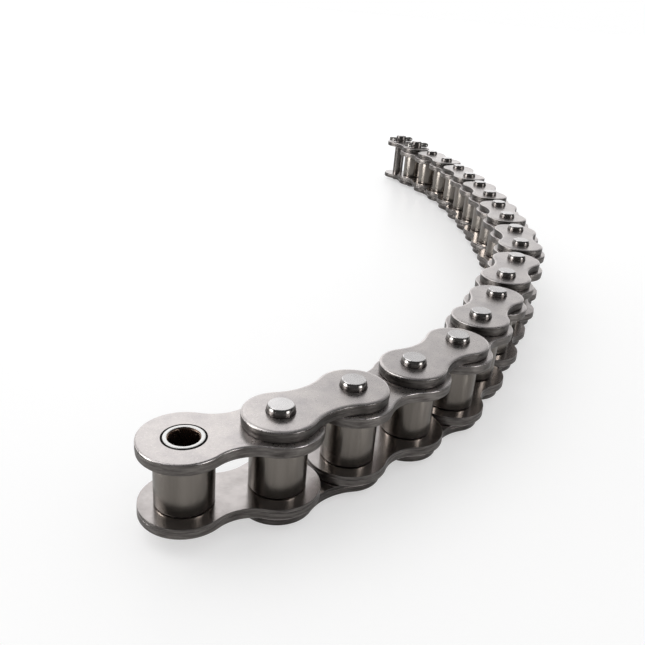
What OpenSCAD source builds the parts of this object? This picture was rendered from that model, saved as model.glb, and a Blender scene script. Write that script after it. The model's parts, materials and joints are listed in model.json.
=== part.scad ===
/* [Chain] */
// Distance from one pin centre to the next
pitch = 25.4; // [25:0.1:32]
// Pairs of one inner link and one outer link
link_pairs = 10; // [3:1:10]
// Clear width between the two plates of an inner link
inner_width = 15.88; // [12:0.01:20]
// Play between the end of a bush and the outer plate beside it
plate_play = 0.1; // [0.05:0.01:0.3]
// Play between each end of a roller and the inner plate beside it
roller_play = 0.15; // [0.05:0.01:0.4]
// Radial clearance of a pin in its bush, and of a roller on its bush
running_clearance = 0.05; // [0.02:0.01:0.09]

/* [Link plates] */
// Thickness of every link plate
plate_thickness = 3.2; // [2.4:0.1:4.5]
// Height of an inner plate across its round lobes
inner_height = 24.1; // [22:0.1:24.6]
// Height of an inner plate at its waist
inner_waist = 17; // [14:0.1:19]
// Height of an outer plate across its round lobes
outer_height = 20.8; // [19:0.1:23]
// Height of an outer plate at its waist
outer_waist = 14.8; // [12:0.1:17]
// Width of the rolled edge that blanking leaves on the face of an outer plate
outer_roll_width = 0.9; // [0.3:0.1:1.3]
// Width of the broken edge on the face of an inner plate
inner_roll_width = 0.4; // [0.2:0.1:1]
// Depth of both, as the press leaves them
roll_depth = 0.4; // [0.2:0.1:0.8]
// Chamfer on the rims of the pin holes in the outer plates
hole_chamfer = 0.2; // [0.1:0.05:0.4]

/* [Rollers] */
// Outside diameter of a roller
roller_d = 15.88; // [14:0.01:18]
// Chamfer on the outer rims of a roller
roller_chamfer = 0.5; // [0.2:0.1:1]

/* [Bushes] */
// Outside diameter of a bush
bush_d = 11.3; // [10.2:0.1:12.6]
// How far a bush stands proud of the inner plates that hold it
bush_proud = 0.1; // [0.05:0.05:0.3]
// Chamfer on the four rims of a bush
bush_chamfer = 0.35; // [0.15:0.05:0.5]

/* [Pins] */
// Diameter of every pin
pin_d = 7.94; // [7:0.01:9]
// How far a riveted pin end stands proud of its outer plate
pin_proud = 2.2; // [1.9:0.1:3]
// Diameter of the flat end face of a riveted pin
nose_d = 6.2; // [5.4:0.1:6.8]
// Length of the steep cone between that face and the side of the pin
nose_length = 1.6; // [0.8:0.1:1.8]

/* [Connecting link] */
// Radial clearance of the pins in the loose cover plate
cover_clearance = 0.03; // [0.02:0.01:0.1]
// Diameter of a cotter, its two half-round wires laid together
cotter_d = 2.9; // [2.2:0.1:3.4]
// Gap between the two wires of a cotter where they lie together
cotter_split = 0.06; // [0.02:0.02:0.2]
// Radial clearance of a cotter in the cross hole of its pin
cotter_clearance = 0.15; // [0.05:0.01:0.3]
// Gap between the cover plate and the edge of the cross hole
cotter_gap = 0.3; // [0.1:0.1:1]
// Length of pin past the edge of the cross hole
pin_tip = 1.3; // [1:0.1:3]
// Chamfer on the plain end of a connecting pin
tip_chamfer = 0.8; // [0.3:0.1:1]
// Outside diameter of the eye of a cotter
cotter_eye_d = 6; // [5:0.1:7]
// Length of the spread legs of a cotter
cotter_leg = 5; // [3:0.1:7]
// Angle by which each leg is bent outwards
cotter_spread = 22; // [12:1:35]
// Room between the side of the pin and the eye of its cotter
cotter_reach = 1.9; // [1:0.1:2.5]

/* [Hidden] */
// Turn of the chain at each pin as it lies on its side, in degrees, from the near end
bends = [17, 2, 7, 13, 3, 4, -2, 5, 10, 5, 1, 2, 3, 2, 2, 4, 7, 4, 2];
$fn = 96;
// Overlap that a cutting tool has past the face that it leaves
past = 1;

// Heights above the middle plane of the chain
inner_face = inner_width / 2 + plate_thickness;
bush_end = inner_face + bush_proud;
outer_plate_z = bush_end + plate_play;
outer_face = outer_plate_z + plate_thickness;
pin_end = outer_face + pin_proud;
cross_hole_d = cotter_d + 2 * cotter_clearance;
cross_hole_z = outer_face + cotter_gap + cross_hole_d / 2;
tip_end = cross_hole_z + cross_hole_d / 2 + pin_tip;
bush_bore_d = pin_d + 2 * running_clearance;
roller_bore_d = bush_d + 2 * running_clearance;
// Inside radius of the eye of a cotter
eye_r = (cotter_eye_d - cotter_d) / 2;

function two_digits(k) = k < 10 ? str("0", k) : str(k);
function bend(i) = i <= len(bends) ? bends[i - 1] : 0;
function heading(i) = i == 0 ? 0 : heading(i - 1) + bend(i);
function pin_point(i) =
    i == 0 ? [0, 0] : pin_point(i - 1) + pitch * [cos(heading(i - 1)), sin(heading(i - 1))];
// Radius of the waist arc that meets both lobes of a plate without a corner
function waist_radius(height, waist) =
    (pow(pitch / 2, 2) + pow(waist / 2, 2) - pow(height / 2, 2)) / (height - waist);

// Puts its children on the link that starts at pin i, with X along the link
module on_link(i) {
    translate(concat(pin_point(i), 0)) rotate([0, 0, heading(i)]) children();
}

// Repeats its children at both ends of a link
module at_both_ends() {
    for (x = [0, pitch]) translate([x, 0, 0]) children();
}

// A round lobe of a plate with its rolled edge on the upper face
module lobe(height, roll) {
    cylinder(d = height, h = plate_thickness - roll_depth);
    translate([0, 0, plate_thickness - roll_depth])
        cylinder(d1 = height, d2 = height - 2 * roll, h = roll_depth);
}

// The tool that cuts one waist arc, flared where the edge is rolled
module waist_cutter(radius, roll) {
    flare = roll / roll_depth;
    rotate_extrude()
        polygon([
            [0, -past], [radius, -past], [radius, plate_thickness - roll_depth],
            [radius + roll + flare * past, plate_thickness + past], [0, plate_thickness + past]
        ]);
}

// A blanked link plate from pin to pin, lying on its inner face
module plate_blank(height, waist, roll) {
    radius = waist_radius(height, waist);
    centre_y = waist / 2 + radius;
    reach = (height / 2 + past / 2) / (height / 2 + radius);
    corner = [pitch / 2 * reach, centre_y * reach];
    at_both_ends() lobe(height, roll);
    difference() {
        linear_extrude(plate_thickness)
            polygon([
                [0, 0], corner, [pitch - corner.x, corner.y],
                [pitch, 0], [pitch - corner.x, -corner.y], [corner.x, -corner.y]
            ]);
        for (side = [-1, 1])
            translate([pitch / 2, side * centre_y, 0]) waist_cutter(radius, roll);
    }
}

// A plate with one round hole at each pin, its rim chamfered on the upper face
module plate(height, waist, roll, hole_d, chamfer) {
    difference() {
        plate_blank(height, waist, roll);
        at_both_ends() {
            translate([0, 0, -past]) cylinder(d = hole_d, h = plate_thickness + 2 * past);
            translate([0, 0, plate_thickness - chamfer])
                cylinder(d1 = hole_d, d2 = hole_d + 4 * chamfer, h = 2 * chamfer);
        }
    }
}

// Two plates that face each other across the chain, their rolled faces outwards
module plate_pair(z) {
    translate([0, 0, z]) children();
    mirror([0, 0, 1]) translate([0, 0, z]) children();
}

module inner_plates(k) {
    color("lightgray")
        on_link(2 * k - 2)
            plate_pair(inner_width / 2)
                plate(inner_height, inner_waist, inner_roll_width, bush_d, bush_chamfer / 2);
}

module outer_plates(k) {
    color("gainsboro")
        on_link(2 * k - 1)
            plate_pair(outer_plate_z)
                plate(outer_height, outer_waist, outer_roll_width, pin_d, hole_chamfer);
}

// A bush, chamfered inside and outside at both ends
module bush() {
    rotate_extrude()
        polygon([
            [bush_bore_d / 2, bush_chamfer - bush_end],
            [bush_bore_d / 2 + bush_chamfer, -bush_end],
            [bush_d / 2 - bush_chamfer, -bush_end],
            [bush_d / 2, bush_chamfer - bush_end],
            [bush_d / 2, bush_end - bush_chamfer],
            [bush_d / 2 - bush_chamfer, bush_end],
            [bush_bore_d / 2 + bush_chamfer, bush_end],
            [bush_bore_d / 2, bush_end - bush_chamfer]
        ]);
}

module bushes(k) {
    color("silver") on_link(2 * k - 2) at_both_ends() bush();
}

// A roller that turns freely on the bush at pin i
module roller(i) {
    top = inner_width / 2 - roller_play;
    color("darkgray")
        on_link(i)
            rotate_extrude()
                polygon([
                    [roller_bore_d / 2, -top], [roller_d / 2 - roller_chamfer, -top],
                    [roller_d / 2, roller_chamfer - top], [roller_d / 2, top - roller_chamfer],
                    [roller_d / 2 - roller_chamfer, top], [roller_bore_d / 2, top]
                ]);
}

// A pin riveted into both of its plates, a blunt cone at each end
module riveted_pin() {
    rotate_extrude()
        polygon([
            [0, -pin_end], [nose_d / 2, -pin_end], [pin_d / 2, nose_length - pin_end],
            [pin_d / 2, pin_end - nose_length], [nose_d / 2, pin_end], [0, pin_end]
        ]);
}

module pins(k) {
    color("silver") on_link(2 * k - 1) at_both_ends() riveted_pin();
}

// A longer pin, riveted below and drilled above for its cotter
module drilled_pin() {
    difference() {
        rotate_extrude()
            polygon([
                [0, -pin_end], [nose_d / 2, -pin_end], [pin_d / 2, nose_length - pin_end],
                [pin_d / 2, tip_end - tip_chamfer], [pin_d / 2 - tip_chamfer, tip_end], [0, tip_end]
            ]);
        translate([0, 0, cross_hole_z])
            rotate([90, 0, 0]) cylinder(d = cross_hole_d, h = 2 * pin_d, center = true);
    }
}

// Section of the half-round wire, its flat side at this distance from the axis
module wire_section(flat) {
    translate([flat, 0])
        intersection() {
            circle(d = cotter_d);
            translate([0, -cotter_d]) square(2 * cotter_d);
        }
}

// One wire of a cotter: its run through the pin, and one leg spread away from the other
module half_cotter() {
    leg_side = (pin_d + cotter_d) / 2;
    eye_side = pin_d / 2 + cotter_reach + cotter_d / 4;
    translate([0, leg_side, 0])
        rotate([90, 0, 0]) linear_extrude(leg_side + eye_side) wire_section(cotter_split / 2);
    translate([cotter_d / 6, leg_side - cotter_d / 4, 0])
        rotate([-90, 0, -cotter_spread]) linear_extrude(cotter_leg) wire_section(0);
}

// A split cotter across the chain: its eye, two wires through the pin, and spread legs
module cotter() {
    translate([0, 0, cross_hole_z]) {
        half_cotter();
        mirror([1, 0, 0]) half_cotter();
        translate([0, -pin_d / 2 - cotter_reach - eye_r, 0]) rotate_extrude() wire_section(eye_r);
    }
}

// The outermost link: one riveted plate and one loose cover plate
module connecting_plates() {
    color("gainsboro")
        on_link(2 * link_pairs - 1) {
            mirror([0, 0, 1]) translate([0, 0, outer_plate_z])
                plate(outer_height, outer_waist, outer_roll_width, pin_d, hole_chamfer);
            translate([0, 0, outer_plate_z])
                plate(
                    outer_height, outer_waist, outer_roll_width, pin_d + 2 * cover_clearance, hole_chamfer
                );
        }
}

module connecting_pins() {
    color("silver") on_link(2 * link_pairs - 1) at_both_ends() {
        drilled_pin();
        cotter();
    }
}

for (k = [1:link_pairs]) {
    inner_plates(k);
    bushes(k);
}
for (i = [1:2 * link_pairs])
    roller(i - 1);
for (k = [1:link_pairs - 1]) {
    outer_plates(k);
    pins(k);
}
connecting_plates();
connecting_pins();
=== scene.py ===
import json
import math

import bpy
from mathutils import Matrix, Vector


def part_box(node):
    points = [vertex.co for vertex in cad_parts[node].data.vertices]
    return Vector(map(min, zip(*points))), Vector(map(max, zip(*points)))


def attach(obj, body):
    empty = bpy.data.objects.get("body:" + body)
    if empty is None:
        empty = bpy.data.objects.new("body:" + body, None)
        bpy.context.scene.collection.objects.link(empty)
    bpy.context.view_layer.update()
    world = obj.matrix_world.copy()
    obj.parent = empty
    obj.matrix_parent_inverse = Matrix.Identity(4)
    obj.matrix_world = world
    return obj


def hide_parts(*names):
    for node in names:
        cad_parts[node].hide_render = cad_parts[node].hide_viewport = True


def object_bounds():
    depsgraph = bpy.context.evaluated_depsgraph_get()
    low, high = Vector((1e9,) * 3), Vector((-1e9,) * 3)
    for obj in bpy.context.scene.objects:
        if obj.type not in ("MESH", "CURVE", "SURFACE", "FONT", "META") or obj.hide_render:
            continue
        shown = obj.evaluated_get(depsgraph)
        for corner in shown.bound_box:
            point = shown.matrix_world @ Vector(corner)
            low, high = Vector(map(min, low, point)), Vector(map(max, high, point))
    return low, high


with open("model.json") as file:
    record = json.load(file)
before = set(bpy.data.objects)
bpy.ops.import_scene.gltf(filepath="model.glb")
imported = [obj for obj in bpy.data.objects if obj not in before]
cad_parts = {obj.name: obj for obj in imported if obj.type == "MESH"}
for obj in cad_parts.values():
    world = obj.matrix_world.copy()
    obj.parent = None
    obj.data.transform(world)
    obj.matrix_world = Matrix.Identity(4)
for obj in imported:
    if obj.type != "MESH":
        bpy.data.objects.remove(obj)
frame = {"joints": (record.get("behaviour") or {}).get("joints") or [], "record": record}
cad_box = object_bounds()

# The camera stands a little above the near end of the chain and looks along it,
# with the wide view and the slight lean that the photograph has.
look_turn = math.radians(65.8 - 90)
look_down = math.radians(23.87)
camera_lean = math.radians(4.65)
bpy.ops.object.camera_add(location=(-0.0318, -0.1491, 0.1112))
camera = bpy.context.object
camera.name = "camera"
camera.rotation_euler = (
    Matrix.Rotation(look_turn, 3, "Z")
    @ Matrix.Rotation(math.pi / 2 - look_down, 3, "X")
    @ Matrix.Rotation(camera_lean, 3, "Z")
).to_euler()
camera.data.sensor_width = 36
camera.data.lens = 39.57
camera.data.clip_start = 0.01
bpy.context.scene.camera = camera
bpy.context.scene.view_settings.view_transform = "Standard"

# The studio is white to the camera. Shiny steel sees a bright patch high on the far side
# that fades into a dark room, a dim ceiling, a pale band low on the far side, and two
# soft boxes low on the left and on the right.
patch_direction = (0.113, 0.801, 0.588)
studio = bpy.data.worlds.new("studio")
studio.use_nodes = True
studio_nodes = studio.node_tree.nodes
studio_wire = studio.node_tree.links.new
background = studio_nodes["Background"]
background.inputs["Color"].default_value = (1, 1, 1, 1)
towards = studio_nodes.new("ShaderNodeTexCoord")
patch_nearness = studio_nodes.new("ShaderNodeVectorMath")
patch_nearness.operation = "DOT_PRODUCT"
patch_nearness.inputs[1].default_value = patch_direction
patch_place = studio_nodes.new("ShaderNodeMapRange")
patch_place.inputs["From Min"].default_value = -1
patch_light = studio_nodes.new("ShaderNodeValToRGB")
patch_light.color_ramp.elements[0].position = 0.75
patch_light.color_ramp.elements[0].color = (0.12, 0.12, 0.12, 1)
patch_light.color_ramp.elements[1].position = 0.992
patch_light.color_ramp.elements[1].color = (1.3, 1.3, 1.3, 1)
for place, shade in ((0.91, 0.48), (0.965, 0.57), (0.983, 0.62)):
    patch_light.color_ramp.elements.new(place).color = (shade, shade, shade, 1)
upward = studio_nodes.new("ShaderNodeSeparateXYZ")
horizon_light = studio_nodes.new("ShaderNodeMapRange")
horizon_light.inputs["From Min"].default_value = 0.16
horizon_light.inputs["From Max"].default_value = 0.36
horizon_light.inputs["To Min"].default_value = 0.85
horizon_light.inputs["To Max"].default_value = 0
far_side = studio_nodes.new("ShaderNodeMapRange")
far_side.inputs["From Min"].default_value = 0.6
far_side.inputs["From Max"].default_value = 0.8
far_horizon = studio_nodes.new("ShaderNodeMath")
far_horizon.operation = "MULTIPLY"
ceiling = studio_nodes.new("ShaderNodeMapRange")
ceiling.inputs["From Min"].default_value = 0.6
ceiling.inputs["From Max"].default_value = 0.7
ceiling.inputs["To Min"].default_value = 1
ceiling.inputs["To Max"].default_value = 0.4
reflected = studio_nodes.new("ShaderNodeMath")
reflected.operation = "MULTIPLY_ADD"
ray = studio_nodes.new("ShaderNodeLightPath")
ambient = studio_nodes.new("ShaderNodeMix")
ambient.inputs["A"].default_value = 0.8
seen = studio_nodes.new("ShaderNodeMath")
seen.operation = "MAXIMUM"
level = studio_nodes.new("ShaderNodeMix")
level.inputs["B"].default_value = 1
studio_wire(towards.outputs["Generated"], patch_nearness.inputs[0])
studio_wire(patch_nearness.outputs["Value"], patch_place.inputs["Value"])
studio_wire(patch_place.outputs["Result"], patch_light.inputs["Fac"])
studio_wire(towards.outputs["Generated"], upward.inputs["Vector"])
studio_wire(upward.outputs["Z"], horizon_light.inputs["Value"])
studio_wire(patch_light.outputs["Color"], reflected.inputs[0])
studio_wire(upward.outputs["Z"], ceiling.inputs["Value"])
studio_wire(ceiling.outputs["Result"], reflected.inputs[1])
studio_wire(patch_place.outputs["Result"], far_side.inputs["Value"])
studio_wire(horizon_light.outputs["Result"], far_horizon.inputs[0])
studio_wire(far_side.outputs["Result"], far_horizon.inputs[1])
studio_wire(far_horizon.outputs["Value"], reflected.inputs[2])
studio_wire(ray.outputs["Is Glossy Ray"], ambient.inputs["Factor"])
all_reflected = reflected.outputs["Value"]
for direction, inner, outer, strength in (
    ((-0.978, 0.172, 0.122), 9, 18, 12),
    ((0.579, -0.797, 0.174), 6, 13, 8),
):
    nearness = studio_nodes.new("ShaderNodeVectorMath")
    nearness.operation = "DOT_PRODUCT"
    nearness.inputs[1].default_value = direction
    soft_box = studio_nodes.new("ShaderNodeMapRange")
    soft_box.inputs["From Min"].default_value = math.cos(math.radians(outer))
    soft_box.inputs["From Max"].default_value = math.cos(math.radians(inner))
    soft_box.inputs["To Max"].default_value = strength
    lit = studio_nodes.new("ShaderNodeMath")
    studio_wire(towards.outputs["Generated"], nearness.inputs[0])
    studio_wire(nearness.outputs["Value"], soft_box.inputs["Value"])
    studio_wire(all_reflected, lit.inputs[0])
    studio_wire(soft_box.outputs["Result"], lit.inputs[1])
    all_reflected = lit.outputs["Value"]
studio_wire(all_reflected, ambient.inputs["B"])
studio_wire(ray.outputs["Is Camera Ray"], seen.inputs[0])
studio_wire(ray.outputs["Is Transmission Ray"], seen.inputs[1])
studio_wire(seen.outputs["Value"], level.inputs["Factor"])
studio_wire(ambient.outputs["Result"], level.inputs["A"])
studio_wire(level.outputs["Result"], background.inputs["Strength"])
bpy.context.scene.world = studio

# One broad lamp stands high on the far left.
bpy.ops.object.light_add(type="SUN", location=(-0.5, 0.7, 1.3))
lamp = bpy.context.object
lamp.name = "lamp"
lamp.data.energy = 0.55
lamp.data.angle = math.radians(40)
chain_middle = Vector((0.15, 0.15, 0))
lamp.rotation_euler = (chain_middle - lamp.location).to_track_quat("-Z", "Y").to_euler()

# The floor is a wide sheet of smooth white laminate. The chain lies on it on the riveted
# ends of its pins. A glow that only the camera and the steel see keeps it white.
floor_z = cad_box[0].z
bpy.ops.object.select_all(action="DESELECT")
bpy.ops.mesh.primitive_plane_add(size=60, location=(0.15, 0.2, floor_z))
floor = bpy.context.object
floor.name = "floor"
floor_white = bpy.data.materials.new("floor_white")
floor_white.use_nodes = True
floor_nodes = floor_white.node_tree.nodes
floor_wire = floor_white.node_tree.links.new
floor_look = floor_nodes["Principled BSDF"]
floor_look.inputs["Base Color"].default_value = (0.55, 0.55, 0.55, 1)
floor_look.inputs["Roughness"].default_value = 0.35
floor_look.inputs["Specular IOR Level"].default_value = 0.3
floor_look.inputs["Emission Color"].default_value = (1, 1, 1, 1)
floor_ray = floor_nodes.new("ShaderNodeLightPath")
steel_glow = floor_nodes.new("ShaderNodeMath")
steel_glow.operation = "MULTIPLY"
steel_glow.inputs[1].default_value = 0.12
floor_glow = floor_nodes.new("ShaderNodeMath")
floor_glow.operation = "MULTIPLY_ADD"
floor_glow.inputs[1].default_value = 0.46
floor_wire(floor_ray.outputs["Is Glossy Ray"], steel_glow.inputs[0])
floor_wire(floor_ray.outputs["Is Camera Ray"], floor_glow.inputs[0])
floor_wire(steel_glow.outputs["Value"], floor_glow.inputs[2])
floor_wire(floor_glow.outputs["Value"], floor_look.inputs["Emission Strength"])
floor.data.materials.append(floor_white)

# Where the links lie: the open bush is at the origin, each running pin is at its
# hinge, and the bare pin of the connecting link ends the chain.
pins = [Vector((0, 0, 0))]
for joint in frame["joints"]:
    if joint["name"].startswith("pin_hinge"):
        pins.append(Vector(joint["pos_m"]))
for mount in frame["record"]["mounts"]:
    if mount["name"] == "free_pin":
        pins.append(Vector(mount["pos_m"]))
pitch = (pins[1] - pins[0]).length
link_pairs = len(pins) // 2


def place_on_link(model, name, start):
    """Copies a piece modelled from pin to pin along X to the link that starts at this pin."""
    copy = model.copy()
    copy.data = model.data.copy()
    copy.name = name
    bpy.context.collection.objects.link(copy)
    along = pins[start + 1] - pins[start]
    turn = Matrix.Rotation(math.atan2(along.y, along.x), 4, "Z")
    copy.data.transform(Matrix.Translation(pins[start]) @ turn)
    return copy


# Every piece is bare steel that has been tumbled and oiled: a cloudy tint, fine
# grain in the polish, and a little unevenness in how much it shines.
steel_finish = bpy.data.node_groups.new("steel_finish", "ShaderNodeTree")
for socket, kind in (
    ("Place", "NodeSocketVector"),
    ("Clean Color", "NodeSocketColor"),
    ("Stained Color", "NodeSocketColor"),
    ("Cloud Scale", "NodeSocketFloat"),
    ("Grain Scale", "NodeSocketFloat"),
    ("Smooth Roughness", "NodeSocketFloat"),
    ("Dull Roughness", "NodeSocketFloat"),
):
    steel_finish.interface.new_socket(socket, in_out="INPUT", socket_type=kind)
for socket, kind in (
    ("Color", "NodeSocketColor"),
    ("Roughness", "NodeSocketFloat"),
    ("Height", "NodeSocketFloat"),
):
    steel_finish.interface.new_socket(socket, in_out="OUTPUT", socket_type=kind)
given = steel_finish.nodes.new("NodeGroupInput")
cloud = steel_finish.nodes.new("ShaderNodeTexNoise")
cloud.inputs["Detail"].default_value = 6
cloud.inputs["Roughness"].default_value = 0.65
grain = steel_finish.nodes.new("ShaderNodeTexNoise")
grain.inputs["Detail"].default_value = 3
stain = steel_finish.nodes.new("ShaderNodeMapRange")
stain.inputs["From Min"].default_value = 0.35
stain.inputs["From Max"].default_value = 0.7
tint = steel_finish.nodes.new("ShaderNodeMix")
tint.data_type = "RGBA"
shine = steel_finish.nodes.new("ShaderNodeMix")
unevenness = steel_finish.nodes.new("ShaderNodeMath")
unevenness.operation = "MULTIPLY_ADD"
unevenness.inputs[1].default_value = 0.5
given_out = steel_finish.nodes.new("NodeGroupOutput")
finish_wire = steel_finish.links.new
finish_wire(given.outputs["Place"], cloud.inputs["Vector"])
finish_wire(given.outputs["Cloud Scale"], cloud.inputs["Scale"])
finish_wire(given.outputs["Place"], grain.inputs["Vector"])
finish_wire(given.outputs["Grain Scale"], grain.inputs["Scale"])
finish_wire(cloud.outputs["Fac"], stain.inputs["Value"])
finish_wire(stain.outputs["Result"], tint.inputs["Factor"])
finish_wire(given.outputs["Clean Color"], tint.inputs["A"])
finish_wire(given.outputs["Stained Color"], tint.inputs["B"])
finish_wire(grain.outputs["Fac"], shine.inputs["Factor"])
finish_wire(given.outputs["Smooth Roughness"], shine.inputs["A"])
finish_wire(given.outputs["Dull Roughness"], shine.inputs["B"])
finish_wire(cloud.outputs["Fac"], unevenness.inputs[0])
finish_wire(grain.outputs["Fac"], unevenness.inputs[2])
finish_wire(tint.outputs["Result"], given_out.inputs["Color"])
finish_wire(shine.outputs["Result"], given_out.inputs["Roughness"])
finish_wire(unevenness.outputs["Value"], given_out.inputs["Height"])


def steel(name, clean, stained, cloud_scale, grain_scale, smooth, dull, bump, stretch=(1, 1, 1)):
    """A bare steel. The stretch multiplies the scale of its clouds and grain along each axis."""
    metal = bpy.data.materials.new(name)
    metal.use_nodes = True
    nodes = metal.node_tree.nodes
    wire = metal.node_tree.links.new
    surface = nodes["Principled BSDF"]
    surface.inputs["Metallic"].default_value = 1
    place = nodes.new("ShaderNodeTexCoord")
    stretched = nodes.new("ShaderNodeMapping")
    stretched.inputs["Scale"].default_value = stretch
    finish = nodes.new("ShaderNodeGroup")
    finish.node_tree = steel_finish
    finish.inputs["Clean Color"].default_value = (*clean, 1)
    finish.inputs["Stained Color"].default_value = (*stained, 1)
    finish.inputs["Cloud Scale"].default_value = cloud_scale
    finish.inputs["Grain Scale"].default_value = grain_scale
    finish.inputs["Smooth Roughness"].default_value = smooth
    finish.inputs["Dull Roughness"].default_value = dull
    relief = nodes.new("ShaderNodeBump")
    relief.inputs["Distance"].default_value = bump
    wire(place.outputs["Object"], stretched.inputs["Vector"])
    wire(stretched.outputs["Vector"], finish.inputs["Place"])
    wire(finish.outputs["Color"], surface.inputs["Base Color"])
    wire(finish.outputs["Roughness"], surface.inputs["Roughness"])
    wire(finish.outputs["Height"], relief.inputs["Height"])
    wire(relief.outputs["Normal"], surface.inputs["Normal"])
    return metal


# Link plates are blanked from strip. The press draws their outer edge down in a soft roll
# and shears the wall below it, with a rough lower band. The wall is darker than the faces,
# partly its own sheared tone and partly painted shade. Their inner faces are smoother than
# the outer ones and painted greyer, as painted shade between the plates.
thick = 0.0032
face_steel = steel(
    "plate_face", clean=(0.78, 0.733, 0.712), stained=(0.62, 0.584, 0.584),
    cloud_scale=150, grain_scale=1700, smooth=0.22, dull=0.36, bump=0.000016,
)
# The inner faces are painted greyer than the outer ones, as painted shade between the plates.
inside_shade_steel = steel(
    "plate_inside", clean=(0.62, 0.58, 0.57), stained=(0.46, 0.43, 0.42),
    cloud_scale=160, grain_scale=2400, smooth=0.17, dull=0.22, bump=0.000002,
)
# The sheared wall is darker than the faces: partly its own rough tone, partly painted shade.
sheared_and_shaded_steel = steel(
    "plate_wall", clean=(0.23, 0.213, 0.2), stained=(0.065, 0.058, 0.055),
    cloud_scale=200, grain_scale=900, smooth=0.26, dull=0.5, bump=0.00005, stretch=(1, 1, 7),
)
# The outer plates' walls are painted near-black, as painted shade between the stacked plates.
outer_wall_shade_steel = steel(
    "outer_plate_wall", clean=(0.14, 0.129, 0.121), stained=(0.025, 0.022, 0.02),
    cloud_scale=160, grain_scale=700, smooth=0.22, dull=0.44, bump=0.00006, stretch=(1, 1, 9),
)
# The chamfers where bush and plate meet are painted near-black, as painted shade in the gap between
# them.
gap_shade_steel = steel(
    "oily_groove", clean=(0.05, 0.046, 0.042), stained=(0.02, 0.018, 0.017),
    cloud_scale=300, grain_scale=2000, smooth=0.4, dull=0.6, bump=0.00001,
)


def start_profile(name, point):
    """A new mesh of one vertex at this point, open in edit mode, from which a profile is drawn."""
    bpy.ops.object.select_all(action="DESELECT")
    bpy.ops.mesh.primitive_plane_add(size=pitch, location=(0, 0, 0))
    piece = bpy.context.object
    piece.name = name
    bpy.ops.object.mode_set(mode="EDIT")
    bpy.ops.mesh.merge(type="CENTER")
    bpy.ops.transform.translate(value=point)
    return piece


def draw(*steps):
    """Extrudes the profile on from its last vertex, by these steps along X and Z."""
    for x, z in steps:
        bpy.ops.mesh.extrude_region_move(TRANSFORM_OT_translate={"value": (x, 0, z)})


def select_where(piece, test, kind="vertices"):
    """In edit mode, selects the vertices or edges that pass the test."""
    bpy.ops.mesh.select_all(action="DESELECT")
    bpy.ops.object.mode_set(mode="OBJECT")
    for part in getattr(piece.data, kind):
        part.select = test(part)
    bpy.ops.object.mode_set(mode="EDIT")


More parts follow.
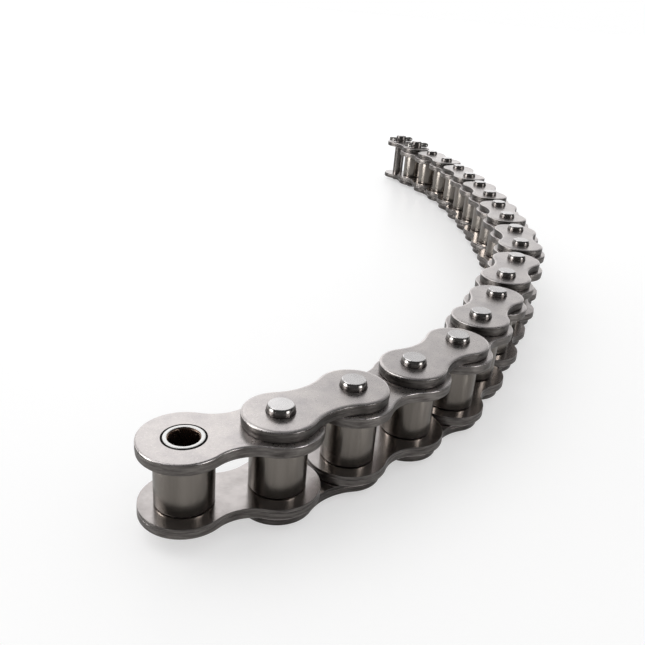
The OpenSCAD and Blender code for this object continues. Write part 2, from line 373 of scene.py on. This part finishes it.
def blank_plate(name, height, waist, roll_width, roll_depth, hole, hole_chamfer, wall):
    """One link plate from pin to pin along X, lying on its inner face."""
    lobe = height / 2
    radius = ((pitch / 2) ** 2 + (waist / 2) ** 2 - lobe**2) / (height - waist)
    waist_y = waist / 2 + radius
    meet = math.atan2(waist_y, pitch / 2)
    burr = 0.00008
    rough_band = thick * 0.3
    smooth_band = thick * 0.7 - roll_depth - 2 * burr
    flat_rim = 0.0001
    plate = start_profile(name, (burr * 2 - lobe, 0, 0))
    draw((-burr, 0), (-burr, burr), (0, rough_band), (-burr, burr), (0, smooth_band))
    for degrees in range(0, 90, 15):
        before, after = math.radians(degrees), math.radians(degrees + 15)
        draw((
            roll_width * (math.cos(before) - math.cos(after)),
            roll_depth * (math.sin(after) - math.sin(before)),
        ))
    draw((flat_rim, 0))
    bpy.ops.mesh.select_all(action="SELECT")
    for x, y, angle, steps in (
        (0, 0, math.pi - meet, 26),
        (pitch / 2, waist_y, 2 * meet - math.pi, 14),
        (pitch, 0, 2 * (math.pi - meet), 52),
        (pitch / 2, -waist_y, 2 * meet - math.pi, 14),
        (0, 0, math.pi - meet, 26),
    ):
        bpy.ops.mesh.spin(steps=steps, angle=angle, center=(x, y, 0), axis=(0, 0, 1))
    bpy.ops.mesh.select_all(action="SELECT")
    bpy.ops.mesh.remove_doubles(threshold=1e-6)
    for x in (0, pitch):
        bpy.ops.mesh.select_all(action="DESELECT")
        bpy.ops.mesh.primitive_circle_add(
            vertices=64, radius=hole + hole_chamfer, location=(x, 0, thick)
        )
        for shrink, drop in (
            (hole / (hole + hole_chamfer), hole_chamfer),
            (1, thick - 1.5 * hole_chamfer),
            (1 + 0.5 * hole_chamfer / hole, 0.5 * hole_chamfer),
        ):
            bpy.ops.mesh.extrude_region_move(TRANSFORM_OT_translate={"value": (0, 0, -drop)})
            bpy.ops.transform.resize(value=(shrink, shrink, 1), center_override=(x, 0, 0))
    for level in (0, thick):
        bpy.ops.object.mode_set(mode="OBJECT")
        use = [0] * len(plate.data.edges)
        for loop in plate.data.loops:
            use[loop.edge_index] += 1
        rim = {
            edge.index
            for edge in plate.data.edges
            if use[edge.index] < 2
            and all(abs(plate.data.vertices[v].co.z - level) < 1e-6 for v in edge.vertices)
        }
        bpy.ops.object.mode_set(mode="EDIT")
        bpy.ops.mesh.select_mode(type="EDGE")
        select_where(plate, lambda edge: edge.index in rim, "edges")
        bpy.ops.mesh.fill(use_beauty=True)
    bpy.ops.mesh.select_mode(type="VERT")
    bpy.ops.mesh.select_all(action="SELECT")
    bpy.ops.mesh.normals_make_consistent(inside=False)
    bpy.ops.object.mode_set(mode="OBJECT")
    for metal in (face_steel, wall, gap_shade_steel, inside_shade_steel):
        plate.data.materials.append(metal)
    wall_slot, gap_shade_slot, inside_slot = 1, 2, 3
    for face in plate.data.polygons:
        from_hole = min(math.hypot(face.center.x - x, face.center.y) for x in (0, pitch))
        # The hole's chamfer takes the painted gap shade.
        if from_hole < hole + hole_chamfer and 0 < face.center.z < thick:
            face.material_index = gap_shade_slot
        # Side faces take the wall steel, which carries painted shade.
        elif abs(face.normal.z) < 0.35:
            face.material_index = wall_slot
        # Inner faces take the greyer steel of painted shade.
        elif face.center.z < thick / 2:
            face.material_index = inside_slot
    bpy.ops.object.shade_smooth_by_angle(angle=math.radians(32))
    return plate


def join_moved_copy(piece, move):
    """Joins a copy of the piece to it, moved or mirrored by this matrix."""
    other = piece.copy()
    other.data = piece.data.copy()
    bpy.context.collection.objects.link(other)
    other.data.transform(move)
    if move.determinant() < 0:
        other.data.flip_normals()
    bpy.ops.object.select_all(action="DESELECT")
    piece.select_set(True)
    other.select_set(True)
    bpy.context.view_layer.objects.active = piece
    bpy.ops.object.join()
    return piece


def pair_of(plate, inner_face_z):
    """Lays the plate at its height, and its mirror image below the middle of the chain."""
    plate.data.transform(Matrix.Translation((0, 0, inner_face_z)))
    return join_moved_copy(plate, Matrix.Scale(-1, 4, (0, 0, 1)))


# Inner plates are the wider ones and carry the bushes. Their outer face has only a
# slight roll, and the rim of each hole is broken round the bush.
bush_radius = 0.00565
inner_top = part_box("inner_plates_01")[1].z
inner_plate = blank_plate(
    "inner_plate_model",
    height=0.0241,
    waist=0.017,
    roll_width=0.0005,
    roll_depth=0.00035,
    hole=bush_radius,
    hole_chamfer=0.00028,
    wall=sheared_and_shaded_steel,
)
inner_model = pair_of(inner_plate, inner_top - thick)
for link in range(link_pairs):
    piece = place_on_link(inner_model, f"inner_plates_look_{link + 1:02d}", 2 * link)
    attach(piece, f"inner_link_{link + 1:02d}")
    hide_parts(f"inner_plates_{link + 1:02d}")
bpy.data.objects.remove(inner_model)

# Outer plates are narrower and lie over the bush ends. Their outer face falls away in a
# wide soft roll all round.
pin_radius = 0.00397
outer_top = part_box("outer_plates_01")[1].z
# Its walls take the near-black steel of painted shade between the plates.
outer_plate = blank_plate(
    "outer_plate_model",
    height=0.0208,
    waist=0.0148,
    roll_width=0.0011,
    roll_depth=0.0005,
    hole=pin_radius,
    hole_chamfer=0.0001,
    wall=outer_wall_shade_steel,
)
outer_model = pair_of(outer_plate, outer_top - thick)
for link in range(link_pairs):
    last = link == link_pairs - 1
    piece = place_on_link(outer_model, f"outer_plates_look_{link + 1:02d}", 2 * link + 1)
    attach(piece, "connecting_link" if last else f"outer_link_{link + 1:02d}")
    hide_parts("connecting_plates" if last else f"outer_plates_{link + 1:02d}")
bpy.data.objects.remove(outer_model)

# Bushes are curled from strip, hardened, and pressed into the inner plates. Only the
# first one shows: a bright ground ring round a dark, oily bore.
running_gap = 0.00005
bush_bore = pin_radius + running_gap
bush_chamfer = 0.00035
bush_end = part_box("bushes_01")[1].z
bush_wall = steel(
    "bush_wall", clean=(0.3, 0.28, 0.26), stained=(0.2, 0.185, 0.17),
    cloud_scale=200, grain_scale=2200, smooth=0.28, dull=0.45, bump=0.00001,
)
bush_ring = steel(
    "bush_ring", clean=(0.86, 0.86, 0.85), stained=(0.78, 0.77, 0.76),
    cloud_scale=300, grain_scale=2600, smooth=0.2, dull=0.32, bump=0.000006,
)
bore_oil = steel(
    "oily_bore", clean=(0.34, 0.25, 0.2), stained=(0.12, 0.085, 0.065),
    cloud_scale=260, grain_scale=1800, smooth=0.2, dull=0.35, bump=0.00002, stretch=(1, 1, 0.3),
)


def turn_on_lathe(name, outline, sides):
    """Spins a closed outline of points, each a radius and a height, once round the Z axis."""
    piece = start_profile(name, (outline[0][0], 0, outline[0][1]))
    for before, after in zip(outline, outline[1:] + outline[:1]):
        draw((after[0] - before[0], after[1] - before[1]))
    bpy.ops.mesh.select_all(action="SELECT")
    bpy.ops.mesh.spin(steps=sides, angle=2 * math.pi, center=(0, 0, 0), axis=(0, 0, 1))
    bpy.ops.mesh.select_all(action="SELECT")
    bpy.ops.mesh.remove_doubles(threshold=1e-6)
    bpy.ops.mesh.normals_make_consistent(inside=False)
    bpy.ops.object.mode_set(mode="OBJECT")
    return piece


def break_edges(piece, width):
    """Rounds every sharp edge of the piece over this width."""
    bpy.ops.object.mode_set(mode="EDIT")
    bpy.ops.mesh.select_mode(type="EDGE")
    bpy.ops.mesh.select_all(action="DESELECT")
    bpy.ops.mesh.edges_select_sharp(sharpness=math.radians(20))
    bpy.ops.mesh.bevel(offset=width, segments=2, affect="EDGES")
    bpy.ops.mesh.select_mode(type="VERT")
    bpy.ops.object.mode_set(mode="OBJECT")
    bpy.ops.object.shade_smooth_by_angle(angle=math.radians(32))


bush_model = turn_on_lathe(
    "bush_model",
    [
        (bush_bore, bush_chamfer - bush_end),
        (bush_bore + bush_chamfer, -bush_end),
        (bush_radius - bush_chamfer, -bush_end),
        (bush_radius, bush_chamfer - bush_end),
        (bush_radius, bush_end - bush_chamfer),
        (bush_radius - bush_chamfer, bush_end),
        (bush_bore + bush_chamfer, bush_end),
        (bush_bore, bush_end - bush_chamfer),
    ],
    sides=72,
)
break_edges(bush_model, width=0.00006)
for metal in (bush_wall, bush_ring, bore_oil, gap_shade_steel):
    bush_model.data.materials.append(metal)
ring_slot, bore_slot, gap_shade_slot = 1, 2, 3
ring_inside = bush_bore + 0.9 * bush_chamfer
ring_outside = bush_radius - 0.8 * bush_chamfer
for face in bush_model.data.polygons:
    out = math.hypot(face.center.x, face.center.y)
    if out < ring_inside:
        face.material_index = bore_slot
    # The outer chamfer at each bush end takes the painted gap shade.
    elif abs(face.center.z) > bush_end - bush_chamfer:
        face.material_index = gap_shade_slot if out > ring_outside else ring_slot
join_moved_copy(bush_model, Matrix.Translation((pitch, 0, 0)))
for link in range(link_pairs):
    piece = place_on_link(bush_model, f"bushes_look_{link + 1:02d}", 2 * link)
    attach(piece, f"inner_link_{link + 1:02d}")
    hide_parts(f"bushes_{link + 1:02d}")
bpy.data.objects.remove(bush_model)

# Rollers are drawn and hardened sleeves that turn on the bushes. They are browner and
# darker than the plates, with rounded rims and fine streaks down their sides.
roller_radius = 0.00794
roller_bore = bush_radius + running_gap
roller_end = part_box("roller_01")[1].z
rim = 0.0005
bore_chamfer = 0.0003
roller_side = steel(
    "roller_side", clean=(0.27, 0.245, 0.22), stained=(0.17, 0.153, 0.136),
    cloud_scale=150, grain_scale=1500, smooth=0.2, dull=0.28, bump=0.00001, stretch=(1, 1, 0.06),
)
roller_face = steel(
    "roller_end", clean=(0.34, 0.32, 0.3), stained=(0.24, 0.225, 0.21),
    cloud_scale=200, grain_scale=2200, smooth=0.3, dull=0.45, bump=0.00001,
)
turned_finish = roller_side.node_tree.nodes["Principled BSDF"]
turned_finish.inputs["Anisotropic"].default_value = 0.5
turned_finish.inputs["Anisotropic Rotation"].default_value = 0.25
round_the_axis = roller_side.node_tree.nodes.new("ShaderNodeTangent")
round_the_axis.direction_type = "RADIAL"
round_the_axis.axis = "Z"
roller_side.node_tree.links.new(round_the_axis.outputs["Tangent"], turned_finish.inputs["Tangent"])
roller_rim = []
for turn in range(5):
    angle = math.radians(22.5 * turn)
    out = roller_radius - rim + rim * math.cos(angle)
    up = roller_end - rim + rim * math.sin(angle)
    roller_rim.append((out, up))
roller_model = turn_on_lathe(
    "roller_model",
    [(roller_bore, bore_chamfer - roller_end), (roller_bore + bore_chamfer, -roller_end)]
    + [(out, -up) for out, up in reversed(roller_rim)]
    + roller_rim
    + [(roller_bore + bore_chamfer, roller_end), (roller_bore, roller_end - bore_chamfer)],
    sides=96,
)
bpy.ops.object.shade_smooth_by_angle(angle=math.radians(32))
roller_model.data.materials.append(roller_side)
roller_model.data.materials.append(roller_face)
for face in roller_model.data.polygons:
    face.material_index = int(abs(face.normal.z) > 0.95)
for pin in range(2 * link_pairs):
    piece = place_on_link(roller_model, f"roller_look_{pin + 1:02d}", pin)
    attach(piece, f"roller_{pin + 1:02d}")
    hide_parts(f"roller_{pin + 1:02d}")
bpy.data.objects.remove(roller_model)

# Pins are hardened rod, pressed into the outer plates and riveted over at both ends to
# a blunt cone. Their end faces are bright, the cones are painted darker as painted shade,
# and the sides are darker still.
pin_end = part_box("pins_01")[1].z
riveted_end = [
    (pin_radius, 0.0019),
    (0.00394, 0.0014),
    (0.0038, 0.00085),
    (0.00361, 0.0004),
    (0.00346, 0.00013),
    (0.00326, 0),
]
pin_bright = steel(
    "pin_end", clean=(0.9, 0.88, 0.88), stained=(0.78, 0.76, 0.76),
    cloud_scale=240, grain_scale=2600, smooth=0.2, dull=0.34, bump=0.000006,
)
pin_cone = steel(
    "pin_cone", clean=(0.3, 0.285, 0.275), stained=(0.18, 0.17, 0.16),
    cloud_scale=300, grain_scale=2200, smooth=0.14, dull=0.24, bump=0.000004,
)
pin_dark = steel(
    "pin_side", clean=(0.16, 0.147, 0.14), stained=(0.07, 0.064, 0.06),
    cloud_scale=260, grain_scale=1600, smooth=0.22, dull=0.36, bump=0.00001, stretch=(1, 1, 0.3),
)


def turned_pin(name, outline):
    """A solid turned part, drawn out upwards through these radii and heights."""
    bpy.ops.object.select_all(action="DESELECT")
    bpy.ops.mesh.primitive_circle_add(vertices=72, radius=outline[0][0], location=(0, 0, 0))
    piece = bpy.context.object
    piece.name = name
    bpy.ops.object.mode_set(mode="EDIT")
    bpy.ops.transform.translate(value=(0, 0, outline[0][1]))
    bpy.ops.mesh.edge_face_add()
    for before, after in zip(outline, outline[1:]):
        wider = after[0] / before[0]
        higher = after[1] - before[1]
        bpy.ops.mesh.extrude_region_move(TRANSFORM_OT_translate={"value": (0, 0, higher)})
        bpy.ops.transform.resize(value=(wider, wider, 1), center_override=(0, 0, 0))
    bpy.ops.mesh.select_all(action="SELECT")
    bpy.ops.mesh.normals_make_consistent(inside=False)
    bpy.ops.object.mode_set(mode="OBJECT")
    return piece


def finish_pin(piece):
    """Smooths a pin and gives its ends and its sides their steels."""
    bpy.ops.object.select_all(action="DESELECT")
    piece.select_set(True)
    bpy.context.view_layer.objects.active = piece
    bpy.ops.object.shade_smooth_by_angle(angle=math.radians(32))
    for metal in (pin_dark, pin_cone, pin_bright):
        piece.data.materials.append(metal)
    # The cones take a steel painted darker than the ends, as painted shade.
    for face in piece.data.polygons:
        facing_up = abs(face.normal.z)
        face.material_index = int(facing_up > 0.25) + int(facing_up > 0.75)


pin_model = turned_pin(
    "pin_model",
    [(out, down - pin_end) for out, down in reversed(riveted_end)]
    + [(out, pin_end - down) for out, down in riveted_end],
)
finish_pin(pin_model)
join_moved_copy(pin_model, Matrix.Translation((pitch, 0, 0)))
for link in range(link_pairs - 1):
    piece = place_on_link(pin_model, f"pins_look_{link + 1:02d}", 2 * link + 1)
    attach(piece, f"outer_link_{link + 1:02d}")
    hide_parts(f"pins_{link + 1:02d}")
bpy.data.objects.remove(pin_model)

# The connecting link at the far end has two longer pins, riveted below. Above, their
# chamfered ends are drilled across for the cotters that hold the loose cover plate.
tip_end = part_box("connecting_pins")[1].z
tip_chamfer = 0.0008
cross_hole = 0.0016
above_plate = 0.0003
cross_hole_z = outer_top + above_plate + cross_hole
drilled_model = turned_pin(
    "drilled_pin_model",
    [(out, down - pin_end) for out, down in reversed(riveted_end)]
    + [
        (pin_radius, outer_top),
        (pin_radius, tip_end - tip_chamfer - 0.0001),
        (0.00393, tip_end - tip_chamfer),
        (pin_radius - tip_chamfer, tip_end - 0.00005),
        (0.0031, tip_end),
    ],
)
bpy.ops.object.select_all(action="DESELECT")
bpy.ops.mesh.primitive_cylinder_add(
    vertices=32,
    radius=cross_hole,
    depth=0.012,
    location=(0, 0, cross_hole_z),
    rotation=(math.pi / 2, 0, 0),
)
drill = bpy.context.object
bpy.context.view_layer.objects.active = drilled_model
bored = drilled_model.modifiers.new("cross_hole", "BOOLEAN")
bored.operation = "DIFFERENCE"
bored.object = drill
bpy.ops.object.modifier_apply(modifier="cross_hole")
bpy.data.objects.remove(drill)
finish_pin(drilled_model)
join_moved_copy(drilled_model, Matrix.Translation((pitch, 0, 0)))
piece = place_on_link(drilled_model, "connecting_pins_look", 2 * link_pairs - 1)
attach(piece, "connecting_link")
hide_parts("connecting_pins")
bpy.data.objects.remove(drilled_model)

# Each cotter is half-round wire doubled on itself: an eye on one side of the pin, two
# halves lying together through it, and two legs spread apart on the other side.
wire_radius = 0.00145
half_gap = 0.00002
neck_radius = 0.0022
eye_bore = 0.00155
leg_bend = math.radians(22)
leg_bend_radius = 0.0025
leg_point = 0.0003
neck_bend = math.acos((neck_radius + half_gap) / (neck_radius + eye_bore))
straight = 0.0044
wire_steel = steel(
    "cotter_wire", clean=(0.4, 0.385, 0.37), stained=(0.26, 0.25, 0.24),
    cloud_scale=300, grain_scale=2200, smooth=0.24, dull=0.4, bump=0.00001,
)


def half_cotter(leg):
    """One half of a cotter, from the tip of its leg to the far side of the eye."""
    half = start_profile("cotter_model", (half_gap, straight, -wire_radius))
    for turn in range(8):
        before, after = math.radians(22.5 * turn - 90), math.radians(22.5 * turn - 67.5)
        draw((
            wire_radius * (math.cos(after) - math.cos(before)),
            wire_radius * (math.sin(after) - math.sin(before)),
        ))
    bpy.ops.mesh.select_all(action="SELECT")
    bpy.ops.mesh.edge_face_add()
    bpy.ops.mesh.delete(type="ONLY_FACE")
    bpy.ops.mesh.select_all(action="SELECT")
    bpy.ops.mesh.extrude_region_move(TRANSFORM_OT_translate={"value": (0, -2 * straight, 0)})
    bpy.ops.mesh.spin(
        steps=6, angle=-neck_bend, center=(half_gap + neck_radius, -straight, 0), axis=(0, 0, 1)
    )
    eye_y = -straight - (neck_radius + eye_bore) * math.sin(neck_bend)
    bpy.ops.mesh.spin(steps=16, angle=math.pi / 2 + neck_bend, center=(0, eye_y, 0), axis=(0, 0, 1))
    select_where(half, lambda vertex: abs(vertex.co.y - straight) < 1e-6)
    bpy.ops.mesh.spin(
        steps=4, angle=leg_bend, center=(half_gap + leg_bend_radius, straight, 0), axis=(0, 0, 1)
    )
    along = Vector((math.sin(leg_bend), math.cos(leg_bend), 0))
    bpy.ops.mesh.extrude_region_move(TRANSFORM_OT_translate={"value": along * leg})
    bpy.ops.mesh.extrude_region_move(TRANSFORM_OT_translate={"value": along * leg_point})
    tip_x = half_gap + leg_bend_radius * (1 - math.cos(leg_bend))
    tip_y = straight + leg_bend_radius * math.sin(leg_bend)
    tip = Vector((tip_x, tip_y, 0)) + along * (leg + leg_point)
    tip += Vector((along.y, -along.x, 0)) * wire_radius / 2
    bpy.ops.transform.resize(value=(0.75, 0.75, 0.75), center_override=tip)
    bpy.ops.mesh.edge_face_add()
    bpy.ops.object.mode_set(mode="OBJECT")
    return half


cotter_model = half_cotter(leg=0.0042)
short_half = half_cotter(leg=0.0036)
short_half.data.transform(Matrix.Scale(-1, 4, (1, 0, 0)))
bpy.ops.object.select_all(action="DESELECT")
short_half.select_set(True)
cotter_model.select_set(True)
bpy.context.view_layer.objects.active = cotter_model
bpy.ops.object.join()
bpy.ops.object.mode_set(mode="EDIT")
bpy.ops.mesh.select_all(action="SELECT")
bpy.ops.mesh.remove_doubles(threshold=5e-6)
bpy.ops.mesh.normals_make_consistent(inside=False)
bpy.ops.object.mode_set(mode="OBJECT")
bpy.ops.object.shade_smooth_by_angle(angle=math.radians(35))
cotter_model.data.transform(Matrix.Translation((0, 0, cross_hole_z)))
cotter_model.data.materials.append(wire_steel)
join_moved_copy(cotter_model, Matrix.Translation((pitch, 0, 0)))
piece = place_on_link(cotter_model, "cotters_look", 2 * link_pairs - 1)
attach(piece, "connecting_link")
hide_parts("connecting_pins")
bpy.data.objects.remove(cotter_model)
